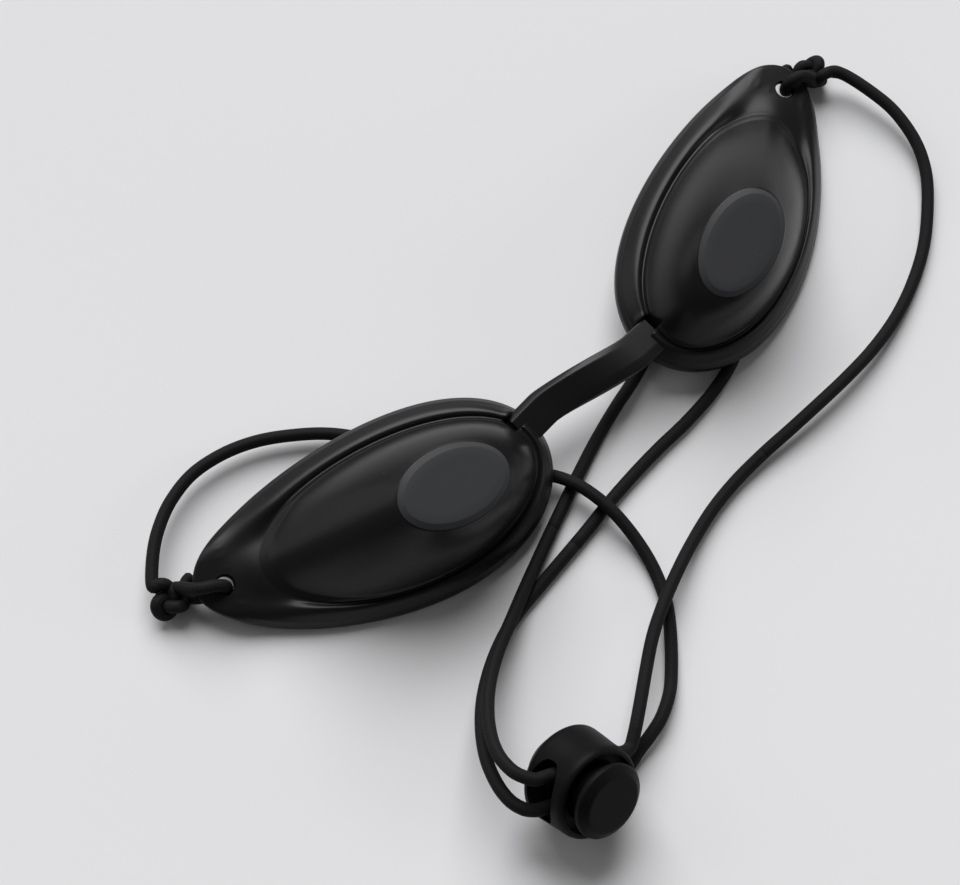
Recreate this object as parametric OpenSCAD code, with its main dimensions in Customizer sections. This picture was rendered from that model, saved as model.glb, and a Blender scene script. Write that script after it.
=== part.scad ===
// Protective eye mask: two soft eye cups with flat windows, a nose bridge, and an elastic cord that is
// knotted through each outer tab and adjusted with a spring cord lock. Millimetres. The mask lies on its
// cup rims on the plane z = 0, with the nose bridge at x = 0 and the foreheads' side towards +Y.

/* [Cups] */
// Length of a cup's rim outline
cup_len = 66.8; // [50:0.2:85]
// Width of a cup's rim outline
cup_wid = 33.6; // [24:0.2:45]
// How much wider the inner half of a cup is than its outer half
cup_taper = 0.207; // [0:0.001:0.4]
// Turn of a cup's long axis in its own rim plane, degrees
cup_turn = 22.3; // [0:0.1:40]
// Distance from the nose line to the middle of a cup
cup_x = 43.9; // [36:0.1:55]
// Sideways offset between the two cups as they lie
glide = 4.2; // [0:0.1:8]
// Slope of each cup down towards its outer end, degrees
wrap = 7; // [0:0.5:15]
// Slope of each cup up towards the forehead side, degrees
roll = 9.5; // [0:0.5:15]
// Width of the rolled lip
lip = 1.8; // [1:0.1:3]
// Height of the skirt's crest over the rim plane
crest = 4.7; // [3.5:0.1:8]
// Thickness of the cup's wall
wall = 1.4; // [0.8:0.1:2]

/* [Dome] */
// Length of the dome where it rises out of the groove
dome_len = 52; // [40:0.5:60]
// Width of the dome where it rises out of the groove
dome_wid = 26.4; // [18:0.2:32]
// Height of the groove at the foot of the dome
groove_z = 4.2; // [3:0.1:6]

/* [Windows] */
// Height of the middle of a window over the rim plane
window_z = 17.7; // [12:0.1:24]
// Length of a window
window_len = 20.4; // [14:0.2:26]
// Width of a window
window_wid = 13; // [9:0.2:18]
// Thickness of a window
window_t = 2; // [1.2:0.1:3]
// How far a window stands out of the dome
window_out = 0.8; // [0:0.1:1.5]
// Width of the ledge that a window sits on
ledge = 1.2; // [0.6:0.1:2]
// Gap round a window in its seat
seat_gap = 0.05; // [0.02:0.01:0.2]

/* [Tabs] */
// Thickness of the flat tab at the outer end of a cup
tab_t = 1.8; // [1.2:0.1:3]
// Height of the top of a tab over the rim plane
tab_z = 4.2; // [3:0.1:6]
// Diameter of the cord hole in a tab
hole_d = 3.4; // [2.6:0.1:5]

/* [Nose bridge] */
// Width of the bridge
bridge_w = 6.7; // [4:0.1:9]
// Thickness of the bridge in the notch of a cup
bridge_end_t = 1.7; // [1:0.1:2.2]
// Thickness of the bridge between the cups
bridge_t = 2.9; // [1.5:0.1:4]
// Gap round the bridge in its notch
bridge_gap = 0.05; // [0.02:0.01:0.3]

/* [Cord] */
// Diameter of the elastic cord
cord_d = 2.3; // [1.5:0.1:3]
// Turns of each knot
knot_turns = 2; // [1:1:4]
// Distance from one turn of a knot to the next
knot_pitch = 2.6; // [2.4:0.1:4]

/* [Cord lock] */
// Diameter of the lock's barrel at its widest
lock_d = 17.4; // [14:0.2:26]
// Diameter of the plunger's stem
stem_d = 10.4; // [8:0.1:13]
// Running gap between stem and bore, on the radius
stem_gap = 0.1; // [0.05:0.01:0.1]
// Diameter of the plunger's head
head_d = 13.5; // [10:0.1:18]
// Thickness of the plunger's head
head_t = 2.2; // [1.6:0.1:5]
// Gap round the head where it sinks into the barrel, on the radius
recess_gap = 0.4; // [0.2:0.05:1]
// Width of the barrel's rim round the head
rim_w = 0.95; // [0.5:0.05:2]
// Travel of the plunger
travel = 2.2; // [1.5:0.1:2.5]
// Distance between the two strands in the lock
strand_gap = 6; // [3.5:0.1:8]
// Height of the strand slot through the barrel
slot_h = 4.6; // [2.8:0.1:6]
// Wire of the spring
wire_d = 0.4; // [0.3:0.05:0.6]

/* [Hidden] */
$fn = 64;
stations = 60;
cord_r = cord_d/2;
rubber_black = [0.05, 0.05, 0.055];
window_grey = [0.12, 0.125, 0.13];
cord_black = [0.04, 0.04, 0.045];
lock_black = [0.045, 0.045, 0.05];

// Vectors
function unit(v) = v/norm(v);
function mix(a, b, s) = a + (b - a)*s;
function smooth(s) = let (q = min(1, max(0, s))) q*q*(3 - 2*q);

// A teardrop outline: e holds half length, half width, taper, bow, turn and middle. Angle 0 is its inner end
function egg(e, t) = let (u = -e[0]*cos(t), v = e[1]*sin(t)*(1 + e[2]*cos(t)) + e[3]*cos(t)*cos(t))
    [e[5] + u*cos(e[4]) - v*sin(e[4]), e[6] + u*sin(e[4]) + v*cos(e[4])];
function inset(e, t, d) = let (a = unit(egg(e, t + 1) - egg(e, t - 1))) egg(e, t) + d*[a[1], -a[0]];
rim = [cup_len/2, cup_wid/2, cup_taper, 1.2, cup_turn, 0, 0];
foot = [dome_len/2, dome_wid/2, 0.05, 1, cup_turn - 1.3, -4.1, -2.4];

// The window's plane, in the cup's frame
window_mid = [-12.1, -6.8, window_z];
window_turn = 18;
window_n = unit([-0.2, -0.15, 1]);
window_u = unit(cross([-sin(window_turn), cos(window_turn), 0], window_n));
window_v = cross(window_n, window_u);
function oval(t, grow, out) = window_mid - window_u*(window_len/2 + grow)*cos(t)
    + window_v*(window_wid/2 + grow)*sin(t) + window_n*out;

// Heights of the skirt, blended into the flat tab at the outer end and a thick pad at the inner end
function tab_share(t) = 1 - smooth((abs(t - 180) - 26)/20);
function pad_share(t) = 1 - smooth((min(t, 360 - t) - 20)/14);
function skirt_z(s) = s < 0.22 ? mix(1.7, 3, s/0.22) : s < 0.45 ? mix(3, crest - 0.5, (s - 0.22)/0.23)
    : s < 0.7 ? mix(crest - 0.5, crest, (s - 0.45)/0.25) : mix(crest, groove_z, (s - 0.7)/0.3);
function tab_top(s) = s < 0.6 ? tab_z : s < 0.8 ? mix(tab_z, tab_z - 0.9, (s - 0.6)/0.2)
    : mix(tab_z - 0.9, tab_z - 0.4, (s - 0.8)/0.2);
function skin(s, t) = let (w = tab_share(t), p = mix(inset(rim, t, 0.35), egg(foot, t), s))
    [p[0], p[1], mix(skirt_z(s), tab_top(s), w)];
function dome(q, t, low, high, e_in, z_foot) =
    let (p = inset(foot, t, e_in), w = pow((1 - cos(t))/2, 2), g = 1 - pow(1 - q, mix(2.2, 1.55, w)),
        f = [p[0], p[1], z_foot], m = oval(t, low, high))
    [mix(f[0], m[0], q), mix(f[1], m[1], q), mix(f[2], m[2], g)];
function under_z(t) = mix(mix(crest - wall - 0.4, tab_z - tab_t, tab_share(t)), 0.9, pad_share(t));
function at_height(p, z) = [p[0], p[1], z];
function cup_section(t) = let (w = tab_share(t), low = (tab_z - tab_t)*w, foot_z = skin(1, t)[2],
        f_in = inset(foot, t, wall - 0.1), l_in = inset(rim, t, lip), u = under_z(t))
    concat([at_height(inset(rim, t, 0.25), low), at_height(egg(rim, t), low + 0.35),
        at_height(egg(rim, t), mix(1.2, low + 1.2, w)), at_height(inset(rim, t, 0.3), mix(1.8, tab_z - 0.1, w))],
        [for (s = [0.22, 0.45, 0.6, 0.7, 0.8, 1]) skin(s, t)],
        [for (q = [0.06, 0.16, 0.3, 0.48, 0.68, 0.86]) dome(q, t, seat_gap, 0, 0, foot_z)],
        [oval(t, seat_gap, 0), oval(t, seat_gap, window_out - window_t), oval(t, -ledge, window_out - window_t),
        oval(t, -ledge, window_out - window_t - wall)],
        [for (q = [0.86, 0.68, 0.48, 0.28, 0.12]) dome(q, t, -ledge, window_out - window_t - wall, wall - 0.1, u)],
        [at_height(f_in, u), at_height(mix(f_in, l_in, 0.5), u), at_height(l_in, mix(u, max(u - 0.5, low), 1 - w)),
        at_height(l_in, low)]);

// Where a point of the right cup's frame lies in the mask. Side -1 is the mirrored left cup
function tilt(p) = let (q = [p[0], p[1]*cos(roll) - p[2]*sin(roll), p[1]*sin(roll) + p[2]*cos(roll)])
    [q[0]*cos(wrap) + q[2]*sin(wrap), q[1], -q[0]*sin(wrap) + q[2]*cos(wrap)];
outline = [for (i = [0:stations - 1]) tilt(at_height(egg(rim, 360*i/stations), 0.35))];
base = [for (i = [0:stations - 1]) tilt(cup_section(360*i/stations)[0])];
cup_y = -(max([for (p = outline) p[1]]) + min([for (p = outline) p[1]]))/2;
cup_z = -min([for (p = base) p[2]]);
function at(side, p) = let (q = tilt(p)) [side*(cup_x + q[0]), cup_y + q[1] - side*glide/2, cup_z + q[2]];
function turn_at(side, v) = let (q = tilt(v)) [side*q[0], q[1], q[2]];

// The inner end: the notch for the nose bridge, in the cup's frame
notch_x = -28.6;
notch_y = -7;
notch_z = crest - 2.3;
bridge_x = notch_x - 1.9;
bridge_out = -34.6;

// The tab's hole, in the cup's frame, and the directions in which the two ties leave it
hole = [26.3, 10.9];
tie_left = 30;
tie_right = -10;
// Distance from a hole to the middle of its knot, and the height of the knot's axis
knot_out = 9.4;
knot_z = 3.25;

// Cord routes: the free points between the knots, the lock and the bight under the right cup
route_left = [
    [-79, 22.6, 4.9], [-75.2, 26.6, 4.6], [-71.2, 29.6, 4.2], [-66.2, 32, 3.8], [-60, 33.2, 3.4],
    [-53.6, 32.3, 3.1], [-47.7, 29.9, 2.9], [-42.3, 26.2, 2.7], [-37.3, 21.6, 2.5], [-33, 15.8, 2.1],
    [-29.4, 9.6, 1.7], [-25.8, 3.2, 1.4], [-22.2, -2.8, 1.4], [-18.6, -8, 2], [-15.7, -12.2, 2.8],
    [-14.3, -15.9, 3.75], [-13.5, -20, 4], [-13.2, -25.2, 3.5], [-13.8, -31.3, 2.1],
    [-15.5, -37.2, 1.3], [-18.6, -42.9, 1.2], [-22.8, -47.7, 1.2], [-27.9, -52.4, 1.4],
    [-31, -54.5, 2], [-34.7, -56.1, 2.3], [-38.3, -56.8, 2.2], [-41.1, -57.1, 1.9],
    [-43.3, -57.5, 1.6], [-45.2, -57.8, 1.5], [-46.9, -58.1, 1.8]];
route_right = [
    [81.7, 3.5, 4.3], [82.6, -2.1, 3.9], [82.7, -8.2, 3.4], [81, -15, 2.6], [77.6, -20.6, 1.9],
    [72.2, -25.6, 1.4], [65.6, -30.2, 1.2], [58.2, -33.6, 1.4], [50.6, -35.9, 1.8], [42.8, -37.1, 2.4],
    [35, -37.4, 2.9], [27.6, -37.2, 3], [20.6, -36.8, 2.6], [13.8, -36.3, 2], [6.8, -36.2, 1.6],
    [-0.2, -36.9, 1.7], [-7.2, -38.5, 2.2], [-13.8, -40.6, 3.4], [-20, -43, 4.2], [-25.5, -45.6, 4.8],
    [-30.7, -48.8, 5.4], [-35.3, -51.8, 5.9], [-38.9, -54.1, 6.1], [-40.9, -55.3, 5.8],
    [-42.5, -56.1, 5.6], [-43.9, -56.1, 6.1]];
route_loop = [
    [-59.8, -50.1, 16], [-60.9, -48.4, 16.5], [-61.4, -46.3, 16.4], [-61, -43.3, 15.6],
    [-59.5, -40.1, 14.2], [-56.7, -36.5, 12], [-52.6, -32.8, 9.5], [-46.9, -29.2, 7],
    [-39.8, -26, 4.7], [-32.7, -23, 2.9], [-25.8, -20.3, 1.8], [-19, -17.8, 1.3], [-12.1, -15.4, 1.2],
    [-4.9, -13.1, 1.2], [2.3, -11.2, 1.2], [9.6, -9.6, 1.2], [16.4, -7.4, 1.2], [23, -5.8, 1.2],
    [29, -6.4, 1.2], [32.8, -10, 1.2], [32.4, -14.6, 1.2], [28.4, -18, 1.2], [23.4, -20.3, 1.2],
    [16.8, -21.7, 1.2], [9.3, -22.2, 1.2], [2.2, -22.1, 1.2], [-4.8, -22.3, 1.2], [-11.9, -22.8, 1.2],
    [-18.8, -23.6, 1.2], [-32.2, -24.8, 1.2], [-38.1, -25.5, 1.5], [-43.7, -27.1, 2.6],
    [-49.3, -29.7, 4.5], [-54.5, -33.1, 7], [-58.8, -37.1, 9.5], [-62.1, -41.4, 11.5],
    [-64, -45.6, 12.6], [-64.6, -49, 13], [-64.1, -51.4, 12.8], [-63.1, -52.7, 12.1]];

// The cord lock: its turn, lean and spin, which point the plunger up and forwards, the distance from its
// middle back to the widest ring that rests on the plane, and the place of its middle
lock_turn = 1;
lock_lean = 58.2;
lock_spin = -36;
lock_back = 3.5;
lock_mid = [-53.68, -54.43, lock_d/2*sin(lock_lean) + lock_back*cos(lock_lean) + 0.01];
function spun(v, a) = [v[0]*cos(a) - v[1]*sin(a), v[0]*sin(a) + v[1]*cos(a), v[2]];
function lock_dir(v) = let (q = spun(v, lock_spin))
    spun([q[0], q[1]*cos(lock_lean) - q[2]*sin(lock_lean), q[1]*sin(lock_lean) + q[2]*cos(lock_lean)], lock_turn);
function lock_at(p) = lock_mid + lock_dir(p);
strand_len = lock_d - 1;
bore_d = stem_d + 2*stem_gap;
slot_len = strand_gap + slot_h + 0.6;
stem_slot_w = strand_gap + cord_d + 0.2;
bore_floor = -6.2;
stem_floor = -2.8;
lock_rear = -7.5;
stem_slot_low = -cord_r - 0.1;
stem_slot_top = cord_r + 0.1 + travel;
recess_r = head_d/2 + recess_gap;
recess_z = slot_h/2 + 1;
face_z = recess_z + 1.8;
rim_r = recess_r + rim_w;
head_z = recess_z + travel + 1.1;
spring_r = stem_d/2 - wire_d/2 - 1;
spring_turns = 2;

// A tube along points: one ring of sides at each point, square to the tangent there
function tangents(p, a, b) = [for (i = [0:len(p) - 1]) i == 0 ? (a == 0 ? unit(p[1] - p[0]) : unit(a))
    : i == len(p) - 1 ? (b == 0 ? unit(p[i] - p[i - 1]) : unit(b)) : unit(unit(p[i + 1] - p[i]) + unit(p[i] - p[i - 1]))];
function carried(n, t) = unit(n - (n*t)*t);
function normals(t, n0) = [for (i = 0, n = carried(n0, t[0]); i < len(t);
    i = i + 1, n = i < len(t) ? carried(n, t[i]) : n) n];
function rings(p, t, r, sides, n0) = let (n = normals(t, n0))
    [for (i = [0:len(p) - 1]) [for (k = [0:sides - 1]) let (a = 360*(k + 0.5)/sides)
        p[i] + r*(n[i]*cos(a) + cross(t[i], n[i])*sin(a))]];
module tube(rows) {
    sides = len(rows[0]);
    last = (len(rows) - 1)*sides;
    polyhedron([for (row = rows) each row], concat(
        [for (i = [0:len(rows) - 2], k = [0:sides - 1]) let (a = i*sides + k, b = i*sides + (k + 1)%sides)
            each [[a, b + sides, b], [a, a + sides, b + sides]]],
        [[for (k = [0:sides - 1]) k], [for (k = [0:sides - 1]) last + sides - 1 - k]]), convexity = 10);
}
module ring_solid(rows) {
    n = len(rows);
    m = len(rows[0]);
    polyhedron([for (row = rows) each row], [for (i = [0:n - 1], k = [0:m - 1])
        let (a = i*m + k, b = i*m + (k + 1)%m, c = ((i + 1)%n)*m + (k + 1)%m, d = ((i + 1)%n)*m + k)
        each [[a, c, b], [a, d, c]]], convexity = 10);
}

// A tie goes up the hole, over the tab and down into the coils of the knot
arc_r = (tab_t + cord_d)/2 + 0.1;
function tie_dir(side, a) = turn_at(side, [cos(a), sin(a), 0]);
function tie_pt(side, a, out, up) = at(side, [hole[0] + out*cos(a), hole[1] + out*sin(a), tab_z - tab_t/2 + up]);
function knot_mid(side, a) = let (h = tie_pt(side, a, 0, 0), d = unit(at_height(tie_dir(side, a), 0)))
    at_height(h + knot_out*d, knot_z);
function knot_coil(side, a, hand) = let (d = unit(at_height(tie_dir(side, a), 0)), w = hand*cross([0, 0, 1], d),
        k = knot_mid(side, a), length = knot_turns*knot_pitch)
    [for (i = [0:knot_turns*12]) let (f = 30*i) k + d*(i/(knot_turns*12) - 0.5)*length
        + 1.9*(cos(f)*[0, 0, 1] + sin(f)*w)];
function tie_pts(side, a, hand) = let (h = tie_pt(side, a, 0, 0), coil = knot_coil(side, a, hand),
        d = unit(at_height(tie_dir(side, a), 0)))
    concat([at_height(knot_mid(side, a) - d*(knot_turns*knot_pitch/2 + 1.5), 3.0), tie_pt(side, a, 3.9, -arc_r - 0.1)],
        [for (f = [-90:36:90]) tie_pt(side, a, arc_r - arc_r*cos(f), arc_r*sin(f))],
        [tie_pt(side, a, 4.6, arc_r + 0.05), coil[0] - d*0.8 + [0, 0, 1.3] - 0.5*(coil[1] - coil[0])]);
function knot_path(side, a, hand) = concat(tie_pts(side, a, hand), knot_coil(side, a, hand));
path_left = concat(knot_path(-1, tie_left, -1), route_left, [lock_at([strand_len/2, -strand_gap/2, 0])]);
path_right = concat(knot_path(1, tie_right, -1), route_right, [lock_at([strand_len/2, strand_gap/2, 0])]);
path_loop = concat([lock_at([-strand_len/2, strand_gap/2, 0])], route_loop,
    [lock_at([-strand_len/2, -strand_gap/2, 0])]);
slot_dir = lock_dir([1, 0, 0]);
rings_left = rings(path_left, tangents(path_left, 0, -slot_dir), cord_r, 8, [0, 0, 1]);
rings_right = rings(path_right, tangents(path_right, 0, -slot_dir), cord_r, 8, [0, 0, 1]);
rings_loop = rings(path_loop, tangents(path_loop, -slot_dir, slot_dir), cord_r, 8, [0, 0, 1]);
knot_end = len(path_left) - len(route_left) - 2;
function slice(list, a, b) = [for (i = [a:b]) list[i]];
function length_of(p) = len(p) < 2 ? 0 : norm(p[1] - p[0]) + length_of(slice(p, 1, len(p) - 1));
echo(cord_mm = length_of(path_left) + length_of(path_right) + length_of(path_loop) + 2*strand_len,
    left = length_of(path_left), right = length_of(path_right), loop = length_of(path_loop));
echo(left_face = at(-1, window_mid + window_n*window_out), left_n = turn_at(-1, window_n),
    right_face = at(1, window_mid + window_n*window_out), right_n = turn_at(1, window_n));
echo(cup_y = cup_y, cup_z = cup_z, left_mid = knot_mid(-1, tie_left), right_mid = knot_mid(1, tie_right));

// Nose bridge: a strap with a rounded top, straight in each notch and arched between the cups
function strap_end(side, x, t) = [for (q = [[-1, 0], [1, 0], [1, 0.5], [0.8, 0.74], [0.5, 0.92], [0, 1],
        [-0.5, 0.92], [-0.8, 0.74], [-1, 0.5]])
    at(side, [x, notch_y + q[0]*bridge_w/2, notch_z + bridge_gap + q[1]*t])];
function strap_mid(s) = let (a = strap_end(-1, bridge_out, bridge_end_t), b = strap_end(1, bridge_out, bridge_end_t),
        da = turn_at(-1, [-1, 0, 0]), db = turn_at(1, [-1, 0, 0]), span = 0.2*norm(b[5] - a[5]),
        fat = bridge_t/bridge_end_t, k = mix(1, fat, 1 - pow(2*s - 1, 2)), h = s*s*(3 - 2*s),
        m = [for (i = [0:8]) mix(a[i], b[i], h) + span*(s*(1 - s)*(1 - s)*da - s*s*(1 - s)*db)],
        low = (m[0] + m[1])/2)
    [for (p = m) at_height(p, low[2] + (p[2] - low[2])*k - (k - 1)*bridge_end_t*0.45)];

module cup(side) {
    rows = [for (i = [0:stations - 1]) let (c = cup_section(360*i/stations)) [for (p = c) at(side, p)]];
    difference() {
        ring_solid(side > 0 ? rows : [for (i = [0:stations - 1]) rows[stations - 1 - i]]);
        placed(side) translate([hole[0], hole[1], 0]) cylinder(d = hole_d, h = 12);
        placed(side) translate([notch_x - 10, notch_y - bridge_w/2 - bridge_gap, notch_z])
            cube([10, bridge_w + 2*bridge_gap, 12]);
    }
}
module placed(side) {
    translate([0, cup_y - side*glide/2, cup_z]) mirror([side < 0 ? 1 : 0, 0, 0]) translate([cup_x, 0, 0])
        rotate([0, wrap, 0]) rotate([roll, 0, 0]) children();
}
module window(side) {
    low = window_out - window_t + seat_gap/2;
    rows = [for (f = [[-ledge*2, low], [-0.1, low], [0, low + 0.1], [0, window_out - 0.5], [-0.12, window_out - 0.2],
        [-0.45, window_out], [-ledge*2, window_out]]) [for (i = [0:47]) at(side, oval(7.5*i, f[0], f[1]))]];
    m = len(rows);
    low_mid = 48*m;
    polyhedron(concat([for (row = rows) each row], [at(side, window_mid + window_n*low),
        at(side, window_mid + window_n*window_out)]),
        [for (i = [0:m], k = [0:47]) let (a = i*48 + k, b = i*48 + (k + 1)%48)
            each faced(side, i == m ? [[low_mid, (k + 1)%48, k]]
                : i == m - 1 ? [[low_mid + 1, a, b]] : [[a, b, b + 48], [a, b + 48, a + 48]])]);
}
function faced(side, faces) = side < 0 ? [for (f = faces) [f[2], f[1], f[0]]] : faces;

module left_cup() { color(rubber_black) cup(-1); }
module right_cup() { color(rubber_black) cup(1); }
module left_window() { color(window_grey) window(-1); }
module right_window() { color(window_grey) window(1); }
module nose_bridge() {
    color(rubber_black) tube(concat([strap_end(-1, bridge_x, bridge_end_t), strap_end(-1, bridge_out, bridge_end_t)],
        [for (s = [0.125:0.125:0.875]) strap_mid(s)],
        [strap_end(1, bridge_out, bridge_end_t), strap_end(1, bridge_x, bridge_end_t)]));
}
module left_knot() { color(cord_black) tube(slice(rings_left, 0, knot_end)); }
module right_knot() { color(cord_black) tube(slice(rings_right, 0, knot_end)); }
module cord_left() { color(cord_black) tube(slice(rings_left, knot_end, len(rings_left) - 1)); }
module cord_right() { color(cord_black) tube(slice(rings_right, knot_end, len(rings_right) - 1)); }
module cord_loop() { color(cord_black) tube(rings_loop); }

module in_lock() { translate(lock_mid) rotate([0, 0, lock_turn]) rotate([lock_lean, 0, 0])
    rotate([0, 0, lock_spin]) children(); }
module strand(y) {
    color(cord_black) in_lock() translate([-strand_len/2, y, 0]) rotate([0, 90, 0]) cylinder(d = cord_d, h = strand_len);
}
module strand_upper() { strand(strand_gap/2); }
module strand_lower() { strand(-strand_gap/2); }
module slot(low, top, deep) {
    h = top - low;
    translate([-deep/2, -(slot_len - h)/2, low]) cube([deep, slot_len - h, h]);
    for (s = [-1, 1]) translate([-deep/2, s*(slot_len - h)/2, (low + top)/2]) rotate([0, 90, 0]) cylinder(d = h, h = deep);
}
module lock_body() {
    r = lock_d/2;
    rear = bore_d/2 - 0.3;
    color(lock_black) in_lock() difference() {
        rotate_extrude() polygon([[0, lock_rear], [rear, lock_rear], [mix(rear, r, 0.27), lock_rear + 1],
            [mix(rear, r, 0.54), lock_rear + 2], [mix(rear, r, 0.81), lock_rear + 3], [r, -lock_back],
            [r - 0.14, -0.5], [rim_r + 0.26, recess_z - 1.3], [rim_r + 0.3, face_z - 1], [rim_r, face_z],
            [recess_r, face_z], [recess_r, recess_z], [0, recess_z]]);
        translate([0, 0, bore_floor]) cylinder(d = bore_d, h = 20);
        slot(-slot_h/2, slot_h/2, 2*lock_d);
    }
}
module lock_plunger() {
    color(lock_black) in_lock() difference() {
        union() {
            translate([0, 0, stem_floor]) cylinder(d = stem_d, h = head_z - stem_floor + 1);
            translate([0, 0, head_z]) rotate_extrude() polygon([[0, 0], [head_d/2 - 0.5, 0], [head_d/2, 0.3],
                [head_d/2, head_t - 1.2], [head_d/2 - 1.5, head_t], [0, head_t]]);
        }
        stem_slot();
    }
}
module stem_slot() {
    translate([-stem_d, -stem_slot_w/2, stem_slot_low]) cube([2*stem_d, stem_slot_w, stem_slot_top - stem_slot_low]);
}
module lock_spring() {
    steps = spring_turns*14;
    low = bore_floor + wire_d/2;
    high = stem_floor - wire_d/2;
    p = [for (i = [0:steps]) let (a = i*360/14) lock_at([spring_r*cos(a), spring_r*sin(a), mix(low, high, i/steps)])];
    color([0.6, 0.61, 0.63]) tube(rings(p, tangents(p, 0, 0), wire_d/2, 6, lock_dir([0, 0, 1])));
}

left_cup();
right_cup();
left_window();
right_window();
nose_bridge();
left_knot();
right_knot();
cord_left();
cord_right();
cord_loop();
strand_upper();
strand_lower();
lock_body();
lock_plunger();
lock_spring();
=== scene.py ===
"""Protective eye mask: the finished surfaces, cord, materials and studio around the packed frame."""

import math
from types import SimpleNamespace

import bpy
import numpy as np
from mathutils import Matrix, Vector


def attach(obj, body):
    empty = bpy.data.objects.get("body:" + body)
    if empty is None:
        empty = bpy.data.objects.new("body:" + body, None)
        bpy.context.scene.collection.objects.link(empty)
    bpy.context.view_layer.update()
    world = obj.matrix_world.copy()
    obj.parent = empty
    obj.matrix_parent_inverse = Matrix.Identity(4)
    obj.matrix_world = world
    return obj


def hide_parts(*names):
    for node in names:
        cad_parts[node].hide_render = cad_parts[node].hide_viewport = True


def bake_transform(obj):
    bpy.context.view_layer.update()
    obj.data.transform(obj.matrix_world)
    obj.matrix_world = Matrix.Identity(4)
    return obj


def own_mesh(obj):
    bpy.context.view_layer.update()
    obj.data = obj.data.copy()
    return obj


bl_info = {
    "name": "Protective eye mask",
    "version": (1, 0, 0),
    "blender": (4, 5, 0),
    "location": "3D View > Sidebar > Eye mask",
    "description": "Builds the eye cups, windows, nose bridge, cord, knots and cord lock on the packed frame",
    "category": "Object",
}

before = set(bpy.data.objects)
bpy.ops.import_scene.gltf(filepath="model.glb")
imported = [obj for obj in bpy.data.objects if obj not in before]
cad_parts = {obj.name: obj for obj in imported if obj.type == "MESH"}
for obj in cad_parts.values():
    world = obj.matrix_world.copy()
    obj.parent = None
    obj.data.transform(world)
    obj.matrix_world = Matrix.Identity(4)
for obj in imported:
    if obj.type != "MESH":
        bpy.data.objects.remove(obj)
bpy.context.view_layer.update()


# Sizes and colours

def length(name, text, mm):
    """A length property up to 200 mm, written here in millimetres and kept in metres."""
    return bpy.props.FloatProperty(name=name, description=text, default=mm / 1000, min=0.0, max=0.2,
                                   precision=5, subtype="DISTANCE", unit="LENGTH")


def angle(name, text, degrees):
    """An angle property, written here in degrees and kept in radians."""
    return bpy.props.FloatProperty(name=name, description=text, default=math.radians(degrees),
                                   subtype="ANGLE", unit="ROTATION")


def share(name, text, value, high=1.0):
    """A plain number from 0 to a highest value."""
    return bpy.props.FloatProperty(name=name, description=text, default=value, min=0.0, max=high)


def colour(name, text, value):
    """A linear colour property."""
    return bpy.props.FloatVectorProperty(name=name, description=text, default=value, size=3, min=0.0,
                                         max=1.0, subtype="COLOR")


class MaskCupSizes(bpy.types.PropertyGroup):
    """Sizes of the two eye cups."""
    rim_length: length("Rim length", "Length of a cup's rim outline", 66.8)
    rim_width: length("Rim width", "Width of a cup's rim outline", 33.6)
    swell: share("Swell", "How much wider the inner half is than the outer half", 0.207)
    turn: angle("Turn", "Turn of a cup's long axis in its rim plane", 22.3)
    apart: length("From nose line", "Distance from the nose line to the middle of a cup", 43.9)
    glide: length("Glide", "Sideways offset between the two cups", 4.2)
    wrap: angle("Wrap", "Slope down towards the outer end", 7.0)
    roll: angle("Roll", "Slope up towards the forehead", 9.5)
    lip: length("Lip", "Width of the rolled lip", 1.8)
    crest: length("Crest", "Height of the skirt's crest", 4.7)
    wall: length("Wall", "Thickness of the wall", 1.4)
    dome_length: length("Dome length", "Length of the dome at the groove", 52.0)
    dome_width: length("Dome width", "Width of the dome at the groove", 26.4)
    groove: length("Groove height", "Height of the groove at the dome's foot", 4.5)
    tab_height: length("Tab height", "Height of the flat tab's top", 4.2)
    tab_thick: length("Tab thickness", "Thickness of the flat tab", 1.8)
    hole: length("Hole", "Diameter of the cord hole in a tab", 3.4)


class MaskWindowSizes(bpy.types.PropertyGroup):
    """Sizes of the two windows."""
    long: length("Length", "Length of a window", 20.4)
    wide: length("Width", "Width of a window", 13.0)
    thick: length("Thickness", "Thickness of a window", 2.0)
    proud: length("Proud", "How far a window stands out of the dome", 0.8)
    height: length("Height", "Height of a window's middle over the rim plane", 17.7)
    bevel: length("Bevel", "Width of the bevel round a window", 0.75)
    ledge: length("Ledge", "Width of the ledge under a window", 1.2)


class MaskBridgeSizes(bpy.types.PropertyGroup):
    """Sizes of the nose bridge."""
    wide: length("Width", "Width of the strap", 6.7)
    end_thick: length("End thickness", "Thickness in the notches", 1.7)
    mid_thick: length("Middle thickness", "Thickness between the cups", 2.9)


class MaskCordSizes(bpy.types.PropertyGroup):
    """Sizes of the elastic cord."""
    thick: length("Thickness", "Diameter of the elastic cord", 2.3)
    knot_thick: length("Knot thickness", "Diameter of the cord where a knot squeezes it", 2.25)
    strands: bpy.props.IntProperty(name="Strands", description="Yarns of the cover that run each way",
                                   default=8, min=4, max=24)
    pitch: length("Braid pitch", "Length of one round of a yarn", 5.2)


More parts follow.
